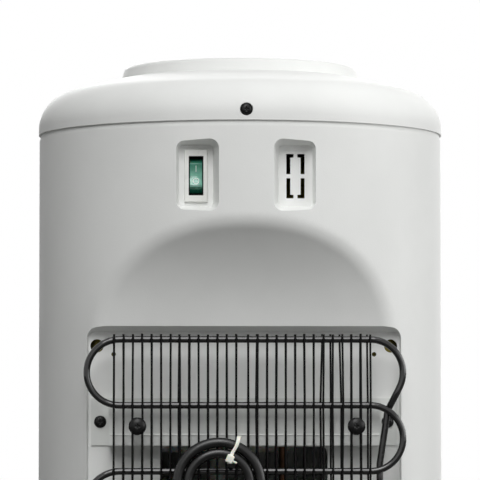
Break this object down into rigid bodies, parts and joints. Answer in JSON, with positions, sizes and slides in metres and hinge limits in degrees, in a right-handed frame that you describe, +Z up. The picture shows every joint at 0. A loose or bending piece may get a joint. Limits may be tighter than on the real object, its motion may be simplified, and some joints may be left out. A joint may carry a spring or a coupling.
{
  "type": "countertop water dispenser",
  "caption": "Countertop bottled-water dispenser: round body, bottle seat on top, two taps over a drip tray, rear wire-on-tube condenser, rocker switch and tied cord.",
  "frame": {"origin": "centre of the round body on the surface that the feet stand on", "axes": "+Z up, the taps face -Y, the condenser and the switch face +Y, +X is on the right seen from the front"},
  "size_m": [0.3012, 0.3012, 0.5202],
  "materials": {
    "white_plastic": "fine-textured white ABS",
    "grey_plastic": "moulded grey ABS",
    "black_plastic": "moulded black",
    "green_rocker": "translucent green, lit from behind",
    "hot_red": "moulded red",
    "cold_blue": "moulded blue",
    "clear_lens": "diffusing lens",
    "white_sheet": "white powder coat",
    "galvanised_sheet": "zinc plated",
    "black_enamel": "satin black enamel",
    "black_screw": "black zinc",
    "stainless": "brushed",
    "copper": "bright drawn copper",
    "nickel": "nickel plated",
    "foam": "olive-brown polyurethane foam",
    "circuit_board": "solder mask",
    "clear_silicone": "food-grade silicone",
    "black_rubber": "moulded",
    "black_pvc": "extruded sheath",
    "white_nylon": "nylon"
  },
  "bodies": {
    "cabinet": {"base_plate": "galvanised_sheet", "cable_tie": "white_nylon", "capillary_tube": "copper", "cold_hose": "clear_silicone", "cold_tank": "stainless", "cold_tank_insulation": "foam", "cold_tap_body": "white_plastic", "compressor_grommets": "black_rubber", "compressor_motor": "galvanised_sheet", "compressor_mount_plate": "galvanised_sheet", "compressor_nuts": "nickel", "compressor_shell": "black_enamel", "compressor_terminal_cover": "black_plastic", "condenser_brackets": "white_sheet", "condenser_screws": "black_screw", "condenser_tube": "black_enamel", "condenser_wires": "black_enamel", "cord_grip": "black_plastic", "discharge_pipe": "black_enamel", "drain_fitting": "white_nylon", "drain_hose": "clear_silicone", "evaporator_coil": "copper", "filter_drier": "copper", "front_shell": "white_plastic", "funnel_seal": "clear_silicone", "hot_feed_hose": "clear_silicone", "hot_outlet_hose": "clear_silicone", "hot_tank": "stainless", "hot_tank_heater": "stainless", "hot_tank_jacket": "foam", "hot_tank_stand": "galvanised_sheet", "hot_tank_thermostats": "black_plastic", "hot_tap_body": "white_plastic", "indicator_board": "circuit_board", "indicator_lenses": "clear_lens", "indicator_panel": "grey_plastic", "pan_screws": "black_screw", "plug": "black_plastic", "power_cord": "black_pvc", "power_cord_coil": "black_pvc", "power_cord_tail": "black_pvc", "rear_shell": "white_plastic", "rubber_feet": "black_rubber", "suction_pipe": "copper", "switch_housing": "white_plastic", "tank_baffle": "white_plastic", "tank_shelf": "galvanised_sheet", "tap_lever_pins": "stainless", "tap_nuts": "white_nylon", "top_cover": "white_plastic"},
    "funnel": {"bottle_funnel": "white_plastic", "feed_spike": "white_plastic"},
    "hot_lever": {"hot_tap_lever": "hot_red"},
    "cold_lever": {"cold_tap_lever": "cold_blue"},
    "hot_stem": {"hot_tap_stem": "stainless"},
    "cold_stem": {"cold_tap_stem": "stainless"},
    "tray": {"drip_tray": "grey_plastic"},
    "grille": {"drip_grille": "grey_plastic"},
    "rocker": {"switch_rocker": "green_rocker"},
    "cap": {"drain_cap": "grey_plastic"}
  },
  "joints": [
    {"name": "funnel_lift", "type": "slide", "parent": "cabinet", "child": "funnel", "axis": [0, 0, 1], "range_m": [0, 0.12]},
    {"name": "hot_lever_press", "type": "hinge", "parent": "cabinet", "child": "hot_lever", "pos_m": [-0.038, -0.121, 0.313], "axis": [1, 0, 0], "range_deg": [0, 20], "stiffness_Nm_per_rad": 0.4},
    {"name": "cold_lever_press", "type": "hinge", "parent": "cabinet", "child": "cold_lever", "pos_m": [0.038, -0.121, 0.313], "axis": [1, 0, 0], "range_deg": [0, 20], "stiffness_Nm_per_rad": 0.4},
    {"name": "hot_stem_lift", "type": "slide", "parent": "cabinet", "child": "hot_stem", "axis": [0, 0, 1], "range_m": [0, 0.0047]},
    {"name": "cold_stem_lift", "type": "slide", "parent": "cabinet", "child": "cold_stem", "axis": [0, 0, 1], "range_m": [0, 0.0047]},
    {"name": "tray_slide", "type": "slide", "parent": "cabinet", "child": "tray", "axis": [0, -1, 0], "range_m": [0, 0.08]},
    {"name": "grille_lift", "type": "slide", "parent": "tray", "child": "grille", "axis": [0, 0, 1], "range_m": [0, 0.05]},
    {"name": "switch_rock", "type": "hinge", "parent": "cabinet", "child": "rocker", "pos_m": [0.03525, 0.1308, 0.4308], "axis": [-1, 0, 0], "range_deg": [0, 14]},
    {"name": "drain_cap_turn", "type": "hinge", "parent": "cabinet", "child": "cap", "pos_m": [0.072, 0.1, 0.084], "axis": [0, 1, 0], "range_deg": [0, 720]}
  ],
  "couplings": [
    {"joint": "hot_stem_lift", "follows": "hot_lever_press", "m_per_rad": 0.01274},
    {"joint": "cold_stem_lift", "follows": "cold_lever_press", "m_per_rad": 0.01274}
  ]
}
